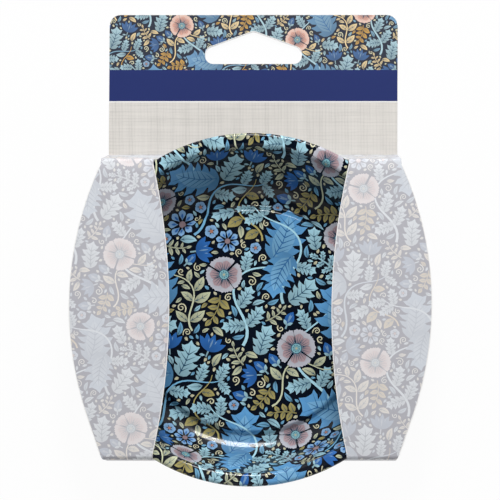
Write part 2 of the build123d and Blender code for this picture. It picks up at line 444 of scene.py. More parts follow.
class Tile:
    """A repeat that wraps on all four sides, filled from its largest shapes to its smallest."""

    cell = 0.3

    def __init__(self, width, height, seed):
        self.count = np.array([round(width / self.cell), round(height / self.cell)])
        self.size = self.count * self.cell
        self.taken = np.zeros(self.count, bool)
        self.inks = []
        self.random = random.Random(seed)

    def is_free(self, points):
        spots = np.floor(points / self.cell).astype(int) % self.count
        return not self.taken[spots[:, 0], spots[:, 1]].any()

    def cover(self, outline, mask_low, mask):
        """Marks the cells of a mask whose middles are inside the outline."""
        low = np.floor(outline.min(0) / self.cell).astype(int) - mask_low
        high = np.ceil(outline.max(0) / self.cell).astype(int) + 1 - mask_low
        xs = (np.arange(low[0], high[0]) + mask_low[0] + 0.5) * self.cell
        ys = (np.arange(low[1], high[1]) + mask_low[1] + 0.5) * self.cell
        a, b = outline, np.roll(outline, -1, 0)
        keep = a[:, 1] != b[:, 1]
        a, b = a[keep], b[keep]
        lower, upper = np.minimum(a[:, 1], b[:, 1]), np.maximum(a[:, 1], b[:, 1])
        spans = (ys[:, None] > lower) & (ys[:, None] <= upper)
        cuts = a[:, 0] + (ys[:, None] - a[:, 1]) * (b[:, 0] - a[:, 0]) / (b[:, 1] - a[:, 1])
        right_of = (xs[:, None, None] < cuts[None]) & spans[None]
        mask[low[0]:high[0], low[1]:high[1]] |= right_of.sum(2) % 2 == 1

    def put(self, inks, force=False):
        """Adds the shapes where nothing is in their way, and says whether it did."""
        outlines = solid_outlines(inks)
        every = np.vstack(outlines)
        if not force and not self.is_free(every):
            return False
        margin = 3
        low = np.floor(every.min(0) / self.cell).astype(int) - margin
        high = np.ceil(every.max(0) / self.cell).astype(int) + margin + 1
        mask = np.zeros(high - low, bool)
        for outline in outlines:
            self.cover(outline, low, mask)
        columns, rows = (np.arange(low[axis], high[axis]) % self.count[axis] for axis in (0, 1))
        cells = np.ix_(columns, rows)
        if not force and (self.taken[cells] & mask).any():
            return False
        grown = mask.copy()
        grown[1:] |= mask[:-1]
        grown[:-1] |= mask[1:]
        grown[:, 1:] |= mask[:, :-1]
        grown[:, :-1] |= mask[:, 1:]
        self.taken[cells] |= grown
        self.inks += inks
        return True

    def flow(self, spot):
        """Which way things grow at a spot, in smooth waves that wrap with the tile."""
        u, v = 2 * math.pi * np.asarray(spot) / self.size
        return 0.9 * math.sin(u + 0.6 * math.sin(v)) + 0.8 * math.cos(2 * v + u) + 0.5 * math.sin(v - 2 * u)

    def scatter(self, motifs, wanted, tries, sway):
        """Throws copies of the motifs at free spots until enough of them have found room."""
        clouds = [np.vstack(solid_outlines(motif)) for motif in motifs]
        found = 0
        for _ in range(tries):
            spot = np.array([self.random.uniform(0, reach) for reach in self.size])
            pick = self.random.randrange(len(motifs))
            angle = self.flow(spot) + self.random.uniform(-sway, sway)
            scale = self.random.uniform(0.86, 1.12)
            side = self.random.choice((-1, 1))
            if not self.is_free(spot[None]):
                continue
            probe = Ink(clouds[pick], "", 1).moved(spot, angle, scale, side)
            if self.is_free(probe.outline) and self.put(moved(motifs[pick], spot, angle, scale, side)):
                found += 1
                if found == wanted:
                    break

    def stem(self, start, heading, length, bend, tone, width, leaves):
        """A long stem that winds through the tile, with leaves on both its sides."""
        pitch = 1.6
        steps = int(length / pitch)
        path = [np.asarray(start, float)]
        headings = []
        for step in range(steps):
            turn = heading + bend * math.sin(2 * math.pi * step / steps)
            headings.append(turn)
            path.append(path[-1] + pitch * np.array([-math.sin(turn), math.cos(turn)]))
        self.put([Ink(ribbon(path, width, width * 0.35), tone, length)], force=True)
        for step in range(2, steps, 2):
            across = np.array([math.cos(headings[step]), math.sin(headings[step])])
            for side in (-1, 1):
                pick = self.random.choice(leaves)
                scale = (1 - 0.4 * step / steps) * self.random.uniform(0.8, 1.15)
                foot = path[step] + 0.35 * width * side * across
                for lean in (0.75, 1.1, 0.45):
                    shapes = moved(pick, foot, headings[step] - side * lean, scale, side)
                    probe = np.vstack(solid_outlines(shapes))
                    away = probe[np.linalg.norm(probe - foot, axis=1) > 1.3 * width + 0.5]
                    if self.is_free(away) and self.put(shapes, force=True):
                        break


def floral_tile(seed):
    """The whole print: large leaves and stems, then flower heads, then ever smaller sprigs in the gaps."""
    tile = Tile(58, 64, seed)
    heads = [
        (tile.size * place, rosette(radius, petals), radius, place[0] * 5)
        for place, radius, petals in (((0.16, 0.22), 6.0, 8), ((0.70, 0.50), 5.6, 7), ((0.26, 0.80), 5.2, 7))
    ]
    broad = [
        moved(big_leaf(length, turn), tile.size * place, heading)
        for place, heading, length, turn in (
            ((0.45, 0.30), 0.9, 21, 0.9),
            ((0.93, 0.62), -0.5, 18, -0.8),
            ((0.55, 0.98), 1.9, 19, 0.7),
            ((0.03, 0.66), 2.6, 15, -0.7),
        )
    ]
    for spot, _, radius, _ in heads:
        tile.put([Ink(disc(radius, 16, spot), "ground", 1)], force=True)
    for shapes in broad:
        tile.put(shapes[:1], force=True)
    grow_stems(tile)
    for shapes in broad:
        tile.put(shapes, force=True)
    for spot, shapes, radius, angle in heads:
        ground = Ink(disc(radius * 0.98, 20, spot), "ground", 1)
        tile.put([ground] + moved(shapes, spot, angle), force=True)
    fill_gaps(tile)
    return tile


def grow_stems(tile):
    """Winding stems: where each starts, its heading, length, bend, ink, width and leaves."""
    fern = [leaf(9.6, 6.2, "pale leaf", turn, 4, 4) for turn in (0.5, -0.3)]
    round_leaf = [leaf(6.4, 3.1, "cream leaf", turn, 0, 2) for turn in (0.6, -0.4)]
    gold_leaf = [leaf(6.0, 3.4, "gold leaf", 0.5, 0, 2)]
    stems = (
        ((0.42, 0.94), 0.2, 46, 0.9, "pale leaf", 1.0, fern),
        ((0.88, 0.18), -0.3, 42, 1.0, "pale leaf", 0.95, fern),
        ((0.04, 0.42), 0.5, 40, -0.9, "pale leaf", 0.9, fern),
        ((0.50, 0.66), -0.7, 34, 0.8, "deep leaf", 0.8, fern),
        ((0.10, 0.92), -0.8, 30, 1.0, "cream leaf", 0.6, round_leaf),
        ((0.60, 0.20), 0.7, 28, -0.8, "cream leaf", 0.6, round_leaf),
        ((0.86, 0.70), 0.3, 26, 0.9, "gold leaf", 0.6, gold_leaf),
    )
    for place, heading, length, bend, tone, width, leaves in stems:
        tile.stem(tile.size * place, heading, length, bend, tone, width, leaves)


def fill_gaps(tile):
    """Scattered motifs, each kind with how many are wanted, how many tries, and how they sway."""
    any_way = 3.0
    lobed_leaves = [leaf(13, 8.6, "deep leaf", 0.6, 4, 4), leaf(11, 7.5, "pale leaf", -0.5, 4, 4)]
    gold_sprigs = [sprig(12, "gold leaf", 3, -0.8, 0.38, 0.55), sprig(10, "gold leaf", 3, 0.6, 0.36, 0.60)]
    cream_sprigs = [sprig(12, "cream leaf", 4, 0.7, 0.32, 0.42), sprig(9, "cream leaf", 3, -0.7, 0.36, 0.42)]
    pale_leaves = [leaf(9, 6.4, "pale leaf", 0.6, 4, 3), leaf(8, 5.5, "pale leaf", -0.5, 3, 3)]
    small_pale_leaves = [leaf(7, 4.8, "pale leaf", 0.5, 3, 3), leaf(5.5, 3.8, "pale leaf", -0.4, 3, 2)]
    small_sprigs = [sprig(7.5, "cream leaf", 2, 0.5, 0.42, 0.45), sprig(6.5, "gold leaf", 2, -0.5, 0.42, 0.5)]
    long_blades = [leaf(7.5, 2.7, "pale leaf", 0.9, 0, 1), leaf(6.4, 2.4, "deep leaf", -0.9, 0, 1)]
    blades = [leaf(5.4, 2.6, "pale leaf", 0.6, 0, 1), leaf(4.6, 2.1, "cream leaf", -0.6, 0, 1)]
    thin_blades = [leaf(4.6, 1.7, "pale leaf", 0.8), leaf(4.0, 1.5, "deep leaf", -0.8)]
    slips = [
        leaf(3.0, 1.3, "pale leaf", 0.5),
        leaf(2.7, 1.2, "cream leaf", -0.5),
        leaf(2.7, 1.3, "gold leaf", 0.4),
    ]
    specks = [
        small_leaf(2.1, 1.0, "pale leaf"),
        small_leaf(1.7, 0.9, "deep leaf"),
        small_leaf(1.4, 0.9, "tendril"),
    ]
    for motifs, wanted, tries, sway in (
        ([tulip(8.5), tulip(7.5)], 4, 1500, 1.0),
        ([pinwheel(4.2)], 2, 800, any_way),
        ([frond(17, 4, 0.9), frond(13, 3, -0.7)], 6, 5000, any_way),
        (lobed_leaves, 6, 4000, any_way),
        (gold_sprigs, 5, 3000, any_way),
        (cream_sprigs, 6, 4000, any_way),
        (pale_leaves, 16, 6000, any_way),
        ([bell(6.5, 0.3), bell(5.6, -0.3)], 6, 2500, 2.0),
        ([small_flower(2.3), small_flower(1.9)], 12, 2500, any_way),
        (small_pale_leaves, 50, 8000, any_way),
        (small_sprigs, 14, 4000, any_way),
        ([spiral(1.5), spiral(1.2)], 12, 2500, any_way),
        (long_blades, 40, 6000, any_way),
        (blades, 90, 8000, any_way),
        (thin_blades, 90, 8000, any_way),
        ([spiral(0.9, 1.0)], 10, 1500, any_way),
        (slips, 220, 9000, any_way),
        (specks, 320, 9000, any_way),
    ):
        tile.scatter(motifs, wanted, tries, sway)


# Tones that stay even from a shape's foot to its tip
EVEN_TONES = ("ground", "vein", "broad vein", "white", "navy", "linen")


def linear(code):
    """Display colours as linear ones."""
    code = np.asarray(code, float)
    return np.where(code <= 0.04045, code / 12.92, ((code + 0.055) / 1.055) ** 2.4)


def paint(code, strength=1.0):
    """A display colour as a linear one with alpha, darker or lighter by a strength."""
    return (*(min(1.0, strength * part) for part in linear(code)), 1.0)


class Palette:
    """Turns the tone of a shape into its colour, printed in full, on the header or faded."""

    def __init__(self, inks, kind):
        self.inks = inks
        self.kind = kind

    def full(self, tone):
        name = tone.replace(" ", "_")
        if self.kind != "dish":
            name = {
                "white": "card_white",
                "ground": f"{self.kind}_ground",
                "petal": "header_petal",
                "petal_heart": "header_heart",
                "gold_leaf": "header_gold",
                "cream_leaf": "header_cream",
            }.get(name, name)
        return np.array(getattr(self.inks, name))

    def printed(self, tone, shade):
        """Linear colours for shade values from 0 at a shape's foot to 1 at its reach."""
        tip = self.full(tone)
        is_even = tone in EVEN_TONES
        foot = tip if is_even else tip * self.inks.foot_shade
        code = foot + (tip - foot) * np.clip(shade, 0, 1)[:, None]
        grey = code.mean(1, keepdims=True)
        is_cool = tip[2] > tip[0]
        if self.kind == "header" and is_cool and not is_even:
            code = code + (grey * self.inks.header_grey - code) * self.inks.header_dull
        if self.kind == "faded" and tone not in ("white", "navy"):
            dull = 0.6 if is_cool else 0.25
            paper = np.array(self.inks.faded_paper)
            code = paper - (paper - (code * (1 - dull) + grey * dull)) * self.inks.faded
        return linear(code)


def is_within(outline, point):
    """Whether a line from the point to the right cuts the outline an odd number of times."""
    a, b = outline, np.roll(outline, -1, 0)
    spans = (point[1] > np.minimum(a[:, 1], b[:, 1])) & (point[1] <= np.maximum(a[:, 1], b[:, 1]))
    a, b = a[spans], b[spans]
    cut = a[:, 0] + (point[1] - a[:, 1]) * (b[:, 0] - a[:, 0]) / (b[:, 1] - a[:, 1])
    return np.sum(point[0] < cut) % 2 == 1


def signed_area(outline):
    x, y = outline.T
    return np.sum(x * np.roll(y, -1) - np.roll(x, -1) * y) / 2


class Sheet:
    """A flat printed blank, cut out and then bent: points on it keep their place in the print."""

    # Spacing of the points added inside the blank, and of their rows as a share of that
    pitch = 2.2
    row_share = 0.87

    def __init__(self, outline, holes=(), creases=()):
        self.outline = np.asarray(outline, float)
        self.holes = [np.asarray(hole, float) for hole in holes]
        self.creases = creases

    def cut(self, inks):
        """Triangles of the blank and, for each, the last ink printed over it, or -1 on bare ground."""
        points, edges, faces = [], [], []

        def loop(outline):
            first = len(points)
            points.extend(outline if signed_area(outline) > 0 else outline[::-1])
            return list(range(first, first + len(outline)))

        for outline in (self.outline, *self.holes, *[ink.outline for ink in inks]):
            faces.append(loop(outline))
        for crease in self.creases:
            first = len(points)
            points.extend(crease)
            edges += [(at, at + 1) for at in range(first, first + len(crease) - 1)]
        low, high = self.outline.min(0), self.outline.max(0)
        rows = np.arange(low[1] + self.pitch / 2, high[1], self.pitch * self.row_share)
        for row, y in enumerate(rows):
            start = low[0] + self.pitch * (0.25 + 0.5 * (row % 2))
            points += [(x, y) for x in np.arange(start, high[0], self.pitch)]
        verts, _, tris, _, _, over = delaunay_2d_cdt([Vector(p) for p in points], edges, faces, 0, 1e-4, True)
        first_ink = 1 + len(self.holes)
        over = self.settled(np.array([tuple(v) for v in verts]), tris, over, inks, first_ink)
        kept, top = [], []
        for tri, ids in zip(tris, over):
            if 0 in ids and not any(0 < at < first_ink for at in ids):
                kept.append(tri)
                top.append(max(max(ids) - first_ink, -1))
        kept = np.array(kept)
        used, places = np.unique(kept, return_inverse=True)
        points, tris = np.array([tuple(verts[at]) for at in used]), places.reshape(-1, 3)
        if (np.abs(points).max(0) > np.abs(self.outline).max(0) + 0.01).any():
            raise ValueError("the blank's outline crosses itself")
        return points, tris, np.array(top)

    @staticmethod
    def settled(verts, tris, over, inks, first_ink):
        """Takes a shape off the triangles outside it, where its outline had let it run out."""
        corners = verts[np.array(tris)]
        sides = corners[:, 1:] - corners[:, :1]
        areas = np.abs(sides[:, 0, 0] * sides[:, 1, 1] - sides[:, 0, 1] * sides[:, 1, 0]) / 2
        middles = corners.mean(1)
        printed = np.zeros(len(inks))
        for ids, area in zip(over, areas):
            for at in ids:
                if at >= first_ink:
                    printed[at - first_ink] += area
        spilt = set()
        for number, ink in enumerate(inks):
            if printed[number] > abs(signed_area(ink.outline)) * 1.1 + 0.5:
                spilt.add(number + first_ink)
        if not spilt:
            return over
        over = [list(ids) for ids in over]
        for at in spilt:
            outline = inks[at - first_ink].outline
            low, high = outline.min(0), outline.max(0)
            near = ((middles > low) & (middles < high)).all(1)
            for number, ids in enumerate(over):
                if at in ids and not (near[number] and is_within(outline, middles[number])):
                    ids.remove(at)
        return over

    def back(self, points, tris):
        """A plain triangulation of the same blank that shares its cut edges and folds."""
        edges = np.vstack([tris[:, (0, 1)], tris[:, (1, 2)], tris[:, (2, 0)]])
        known = {tuple(edge) for edge in edges}
        rim = [edge for edge in map(tuple, edges) if edge[::-1] not in known]
        rim_points = sorted({at for edge in rim for at in edge})
        place = {at: number for number, at in enumerate(rim_points)}
        flat = [points[at] for at in rim_points]
        lines = [(place[a], place[b]) for a, b in rim]
        for crease in self.creases:
            crease = np.asarray(crease, float)
            if len(crease) > 2:
                first = len(flat)
                flat.extend(crease)
                lines += [(at, at + 1) for at in range(first, first + len(crease) - 1)]
                continue
            run = crease[1] - crease[0]
            met = []
            for at in rim_points:
                to = points[at] - crease[0]
                along = to @ run / (run @ run)
                if np.linalg.norm(to - along * run) < 2e-3:
                    met.append((along, at))
            met.sort()
            for (_, a), (_, b) in zip(met, met[1:]):
                if self.is_inside((points[a] + points[b]) / 2):
                    lines.append((place[a], place[b]))
        verts, _, made, origin, _, _ = delaunay_2d_cdt([Vector(p) for p in flat], lines, [], 0, 1e-5, True)
        verts = np.array([tuple(v) for v in verts])
        middles = verts[np.array(made)].mean(1)
        made = [tri for tri, middle in zip(made, middles) if self.is_inside(middle)]
        owner = {}
        for number, sources in enumerate(origin):
            for source in sources:
                if source < len(rim_points):
                    owner[rim_points[source]] = number
        return verts, np.array(made), rim, owner

    def is_inside(self, point):
        return is_within(self.outline, point) and not any(is_within(hole, point) for hole in self.holes)


def printed_piece(name, sheet, inks, palette, face, back, finishes, crushed=0.0):
    """Builds the bent sheet as one closed mesh: printed face, plain back and cut edges.

    face and back take flat points and give their places and normals, all in millimetres.
    finishes are the materials of the print, of the back and of the cut edge, then those of
    single tones by name.
    """
    points, tris, top = sheet.cut(inks)
    places, normals = face(points)
    back_points, back_tris, rim, owner = sheet.back(points, tris)
    back_places, back_normals = back(back_points)
    tones = np.array([inks[at].tone if at >= 0 else "ground" for at in top])
    if crushed:
        edge_points = {at for edge in rim for at in edge}
        on_edge = {at for at in tris[tones == "white"].ravel() if at in edge_points}
        for at in on_edge:
            places[at] -= normals[at] * crushed
    offset = len(points)
    walls, wall_normals = [], []
    for a, b in rim:
        low_a, low_b = owner[a] + offset, owner[b] + offset
        across = np.cross(places[b] - places[a], back_places[owner[a]] - places[a])
        normal = -across / max(np.linalg.norm(across), 1e-9)
        walls += [(a, low_a, low_b), (a, low_b, b)]
        wall_normals += [normal] * 6
    flipped = back_tris[:, ::-1]
    corners = np.vstack([tris, flipped + offset, np.array(walls)])
    mesh = bpy.data.meshes.new(name)
    mesh.from_pydata((np.vstack([places, back_places]) * MM).tolist(), [], corners.tolist())
    for material in finishes.values():
        mesh.materials.append(material)
    order = {tone: number for number, tone in enumerate(finishes)}
    numbers = [order.get(tone, order["print"]) for tone in tones]
    numbers += [order["back"]] * len(flipped) + [order["edge"]] * len(walls)
    mesh.polygons.foreach_set("material_index", numbers)
    tint = np.ones((len(corners), 3, 4))
    for number in set(top.tolist()):
        faces = np.flatnonzero(top == number)
        ink = inks[number] if number >= 0 else None
        spots = points[tris[faces]].reshape(-1, 2)
        if ink:
            shade = np.linalg.norm(spots - ink.foot, axis=1) / ink.reach
        else:
            shade = np.zeros(len(spots))
        tint[faces, :, :3] = palette.printed(ink.tone if ink else "ground", shade).reshape(-1, 3, 3)
    layer = mesh.color_attributes.new("print", "FLOAT_COLOR", "CORNER")
    layer.data.foreach_set("color", tint.ravel())
    face_normals = normals[tris].reshape(-1, 3), back_normals[flipped].reshape(-1, 3)
    mesh.normals_split_custom_set(np.vstack([*face_normals, np.array(wall_normals)]))
    mesh.validate()
    piece = bpy.data.objects.new(name, mesh)
    bpy.context.scene.collection.objects.link(piece)
    return piece


# How the print lies on a blank: its shift in millimetres and how far it is turned
DISH_LAY = ((6, -20), math.radians(-12))
SLEEVE_LAY = ((3, 9), math.radians(4))
HEADER_LAY = ((-5, 2), math.radians(-7))


def spread(tile, low, high, lay, scale=1.0):
    """Copies of the tile's shapes over the box between two corners, kept to those that reach it."""
    origin, angle = lay
    turn = np.array([[math.cos(angle), math.sin(angle)], [-math.sin(angle), math.cos(angle)]]) * scale
    laid = []
    reach = math.hypot(*np.maximum(np.abs(low), np.abs(high))) / scale + max(tile.size)
    count = int(reach / min(tile.size)) + 1
    for column in range(-count, count + 1):
        for row in range(-count, count + 1):
            shift = np.array(origin) + tile.size * (column, row)
            for ink in tile.inks:
                outline = (ink.outline + shift) @ turn
                if (outline.max(0) > low).all() and (outline.min(0) < high).all():
                    laid.append(Ink(outline, ink.tone, ink.reach * scale, (ink.foot + shift) @ turn))
    return laid


def bend_path(corners, radii, step=math.radians(12)):
    """Rounds the corners of a path: its points, and the unit normals on its left."""
    corners = [np.asarray(corner, float) for corner in corners]
    points, headings = [corners[0]], [corners[1] - corners[0]]
    for before, corner, after, radius in zip(corners, corners[1:], corners[2:], radii):
        into = (corner - before) / np.linalg.norm(corner - before)
        out = (after - corner) / np.linalg.norm(after - corner)
        cross = into[0] * out[1] - into[1] * out[0]
        angle = math.atan2(cross, into @ out)
        if abs(angle) < 1e-6:
            continue
        if not radius:
            points.append(corner)
            headings.append(into)
            continue
        start = corner - into * radius * abs(math.tan(angle / 2))
        steps = max(2, math.ceil(abs(angle) / step))
        centre = start + np.array([-into[1], into[0]]) * math.copysign(radius, angle)
        for at in range(steps + 1):
            turned = angle * at / steps
            spin = np.array([[math.cos(turned), math.sin(turned)], [-math.sin(turned), math.cos(turned)]])
            points.append(centre + (start - centre) @ spin)
            headings.append(into @ spin)
    points.append(corners[-1])
    headings.append(corners[-1] - corners[-2])
    points = np.array(points)
    headings = np.array([heading / np.linalg.norm(heading) for heading in headings])
    return points, np.column_stack([-headings[:, 1], headings[:, 0]])


class Value:
    """A shader socket in an expression: each sum with it adds its Math node."""

    def __init__(self, wiring, socket):
        self.wiring = wiring
        self.socket = socket

    def maths(self, operation, *terms):
        return self.wiring.node("ShaderNodeMath", {"operation": operation}, dict(enumerate(terms)))

    def __add__(self, other):
        return self.maths("ADD", self, other)

    def __sub__(self, other):
        return self.maths("SUBTRACT", self, other)

    def __rsub__(self, other):
        return self.maths("SUBTRACT", other, self)

    def __mul__(self, other):
        return self.maths("MULTIPLY", self, other)

    def __pow__(self, other):
        return self.maths("POWER", self, other)

    __radd__ = __add__
    __rmul__ = __mul__


class Wiring:
    """A node tree, with one way to add any node to it."""

    def __init__(self, tree):
        self.tree = tree
        tree.nodes.clear()

    def node(self, kind, settings=None, inputs=None, output=0):
        node = self.tree.nodes.new(kind)
        for name, value in (settings or {}).items():
            setattr(node, name, value)
        for key, value in (inputs or {}).items():
            self.feed(node.inputs[key], value)
        return Value(self, node.outputs[output]) if node.outputs else node

    def feed(self, socket, value):
        if isinstance(value, Value):
            self.tree.links.new(value.socket, socket)
        else:
            socket.default_value = value

    def mixed(self, factor, first, second, blend="MIX"):
        settings = {"data_type": "RGBA", "blend_type": blend}
        return self.node("ShaderNodeMix", settings, {0: factor, 6: first, 7: second}, 2)

    def place(self):
        """Where a point of the surface is on the object, in metres."""
        return self.node("ShaderNodeTexCoord", output="Object")

    def noise(self, scale, detail=2.0, roughness=0.5, stretch=(1, 1, 1)):
        """Grain of one size, in waves per metre, from 0 to 1."""
        spot = self.node("ShaderNodeVectorMath", {"operation": "MULTIPLY"}, {0: self.place(), 1: stretch})
        inputs = {"Vector": spot, "Scale": scale, "Detail": detail, "Roughness": roughness}
        return self.node("ShaderNodeTexNoise", {}, inputs)

    def bump(self, height, strength, distance):
        inputs = {"Height": height, "Strength": strength, "Distance": distance}
        return self.node("ShaderNodeBump", {}, inputs)


class Finish(Wiring):
    """A material on the Principled shader."""

    def __init__(self, name, **sockets):
        self.material = bpy.data.materials.new(name)
        self.material.use_nodes = True
        super().__init__(self.material.node_tree)
        self.shader = self.node("ShaderNodeBsdfPrincipled")
        self.node("ShaderNodeOutputMaterial", {}, {"Surface": self.shader})
        self.set(**sockets)

    def set(self, **sockets):
        """Sets or links the shader's sockets, with _ for the spaces in their names."""
        for name, value in sockets.items():
            self.feed(self.shader.socket.node.inputs[name.replace("_", " ")], value)
        return self


def lacquered_print():
    """Inks on tin under a clear, slightly uneven baked lacquer."""
    coat = {"Coat_Weight": 0.4, "Coat_Roughness": 0.05, "Coat_IOR": 1.45}
    finish = Finish("lacquered_print", Specular_IOR_Level=0.15, **coat)
    ink = finish.node("ShaderNodeAttribute", {"attribute_name": "print"})
    mottle = finish.noise(900.0, 3.0)
    grey = finish.node("ShaderNodeCombineColor", {}, {0: mottle, 1: mottle, 2: mottle})
    tint = finish.mixed(0.10, ink, grey, "OVERLAY")
    peel = finish.noise(350.0, 2.0)
    return finish.set(
        Base_Color=tint,
        Roughness=peel * 0.08 + 0.16,
        Normal=finish.bump(peel + mottle * 0.15, 0.12, 0.0002),
    ).material


def tin_underside():
    """Dark lacquer on the outside of the dish, with fine drawing marks."""
    finish = Finish("tin_underside", Specular_IOR_Level=0.5, Coat_Roughness=0.15)
    grain = finish.noise(1400.0, 3.0)
    cloud = finish.noise(60.0, 2.0)
    tint = finish.mixed(cloud, paint((0.045, 0.075, 0.13)), paint((0.07, 0.11, 0.18)))
    return finish.set(
        Base_Color=tint, Roughness=grain * 0.12 + 0.28, Normal=finish.bump(grain, 0.10, 0.0001)
    ).material


def satin_print():
    """Inks on coated card, with the card's fibres showing faintly."""
    finish = Finish("satin_print", Specular_IOR_Level=0.35, Coat_Weight=0.2, Coat_Roughness=0.3)
    ink = finish.node("ShaderNodeAttribute", {"attribute_name": "print"})
    fibre = finish.noise(1600.0, 4.0, 0.6)
    cloud = finish.noise(45.0, 2.0)
    grain = finish.mixed(fibre, paint((0.955, 0.955, 0.955)), paint((1.0, 1.0, 1.0)))
    tint = finish.mixed(1.0, ink, grain, "MULTIPLY")
    return finish.set(
        Base_Color=tint,
        Roughness=fibre * 0.12 + cloud * 0.08 + 0.38,
        Normal=finish.bump(fibre + cloud * 2.0, 0.10, 0.00008),
    ).material


def linen_print(inks):
    """A printed weave of threads that vary in weight and colour."""
    finish = Finish("linen_print", Coat_Weight=0.10, Coat_Roughness=0.25)
    threads = []
    for way, along in (("X", (1, 0.05, 0)), ("Y", (0.05, 1, 0))):
        wave = finish.node(
            "ShaderNodeTexWave",
            {"bands_direction": way},
            {"Vector": finish.place(), "Scale": 700.0, "Distortion": 1.5, "Detail": 1.0, "Detail Scale": 0.4},
        )
        threads.append(wave * finish.noise(1500.0, 2.0, 0.7, along) * finish.noise(500.0, 2.0, 0.5, along))
    weave = (threads[0] + threads[1]) * 2.0
    return finish.set(
        Base_Color=finish.mixed(weave * 0.85, paint(inks.linen, 1.12), paint(inks.linen, 0.70)),
        Roughness=weave * 0.08 + 0.40,
        Normal=finish.bump(weave, 0.08, 0.00008),
    ).material


def navy_ink(inks):
    """A flat band of dense ink, with the sheen of its varnish."""
    finish = Finish("navy_ink", Specular_IOR_Level=0.2, Coat_Roughness=0.2)
    grain = finish.noise(1500.0, 4.0, 0.6)
    cloud = finish.noise(30.0, 2.0)
    return finish.set(
        Base_Color=finish.mixed(grain * 0.5 + cloud * 0.4, paint(inks.navy), paint(inks.navy, 1.18)),
        Roughness=grain * 0.10 + 0.36,
        Normal=finish.bump(grain, 0.08, 0.00008),
    ).material


def plain_card(name, code, scale):
    """Bare card: pressed fibres and a few darker flecks."""
    finish = Finish(name, Specular_IOR_Level=0.25)
    fibre = finish.noise(scale, 5.0, 0.65, (1, 2.2, 1))
    fleck = finish.node("ShaderNodeTexVoronoi", {}, {"Vector": finish.place(), "Scale": 700.0})
    return finish.set(
        Base_Color=finish.mixed(fibre * 0.6 + fleck * 0.2, paint(code), paint(code, 0.80)),
        Roughness=fibre * 0.15 + 0.70,
        Normal=finish.bump(fibre, 0.25, 0.0001),
    ).material


def sintered_magnet():
    """Dark ceramic magnet: fine grain with a few lighter grinding marks."""
    finish = Finish("sintered_magnet", Specular_IOR_Level=0.5)
    grain = finish.noise(2600.0, 5.0, 0.7)
    marks = finish.noise(260.0, 3.0, 0.6, (1, 14, 1))
    dark, pale = paint((0.11, 0.11, 0.12)), paint((0.25, 0.25, 0.26))
    return finish.set(
        Base_Color=finish.mixed(grain * 0.6 + marks * 0.4, dark, pale),
        Roughness=grain * 0.2 + 0.45,
        Normal=finish.bump(grain + marks, 0.3, 0.0001),
    ).material


def cell_foam():
    """Black closed-cell foam with its cut cells."""
    finish = Finish("cell_foam", Specular_IOR_Level=0.3)
    cells = finish.node("ShaderNodeTexVoronoi", {}, {"Vector": finish.place(), "Scale": 1500.0})
    cloud = finish.noise(80.0, 3.0)
    dark, pale = paint((0.10, 0.10, 0.105)), paint((0.20, 0.20, 0.205))
    return finish.set(
        Base_Color=finish.mixed(cells * 0.8 + cloud * 0.2, dark, pale),
        Roughness=cells * 0.2 + 0.75,
        Normal=finish.bump(cells, 0.5, 0.0002),
    ).material


def card_finishes():
    """Print, back and cut edge of the card, made the first time that they are asked for."""
    known = bpy.data.materials
    return {
        "print": known.get("satin_print") or satin_print(),
        "back": known.get("card_back") or plain_card("card_back", (0.90, 0.895, 0.88), 900.0),
        "edge": known.get("card_core") or plain_card("card_core", (0.955, 0.955, 0.95), 1800.0),
    }


def arc_through(first, middle, last, steps):
    """Points along the circular arc through three points."""
    a, b, c = (complex(*point) for point in (first, middle, last))
    w = (c - a) / (b - a)
    centre = a + (b - a) * (w - abs(w) ** 2) / (2j * w.imag)
    radius = a - centre
    sweep = math.atan2(((c - centre) / radius).imag, ((c - centre) / radius).real)
    spots = []
    for part in np.linspace(0, 1, steps + 1):
        turned = sweep * part
        spot = centre + radius * complex(math.cos(turned), math.sin(turned))
        spots.append((spot.real, spot.imag))
    return np.array(spots)


def rounded_loop(corners, radii):
    """A closed outline with rounded corners, from the middle of its first side."""
    corners = [np.asarray(corner, float) for corner in corners]
    start = (corners[-1] + corners[0]) / 2
    points, _ = bend_path([start, *corners, start], radii)
    return points[:-1]


def rounded_box(half, low, high, radii):
    """A box that is even about the middle, from its lower right corner round by the top."""
    return rounded_loop([(half, low), (half, high), (-half, high), (-half, low)], radii)


def edge_bands(line, width, closed=False):
    """White strips along a cut edge, on the left of a line of points."""
    line = np.asarray(line, float)
    along = np.roll(line, -1, 0) - np.roll(line, 1, 0) if closed else np.gradient(line, axis=0)
    along /= np.linalg.norm(along, axis=1)[:, None]
    left = np.column_stack([-along[:, 1], along[:, 0]])
    inner = line + width * left
    outer = line - 0.3 * width * left
    if closed:
        inner, outer = np.vstack([inner, inner[:1]]), np.vstack([outer, outer[:1]])
    half = len(inner) // 2
    cuts = [(0, half + 1), (half, len(inner))]
    return [Ink(np.vstack([outer[a:b], inner[a:b][::-1]]), "white", 1) for a, b in cuts]


def worn_crease(chance, start, end, count):
    """Short broken slivers of bare card along a fold."""
    thick = 0.16
    start, end = np.asarray(start, float), np.asarray(end, float)
    run = end - start
    side = np.array([-run[1], run[0]]) / np.linalg.norm(run)
    slivers = []
    for _ in range(count):
        low = chance.uniform(0, 0.96)
        high = min(1.0, low + chance.uniform(0.01, 0.07))
        shift = side * chance.gauss(0, 0.10)
        path = [start + run * t + shift + side * chance.gauss(0, 0.03) for t in np.linspace(low, high, 5)]
        slivers.append(Ink(ribbon(path, thick * chance.uniform(0.5, 1.3), 0.04), "white", 1))
    return slivers


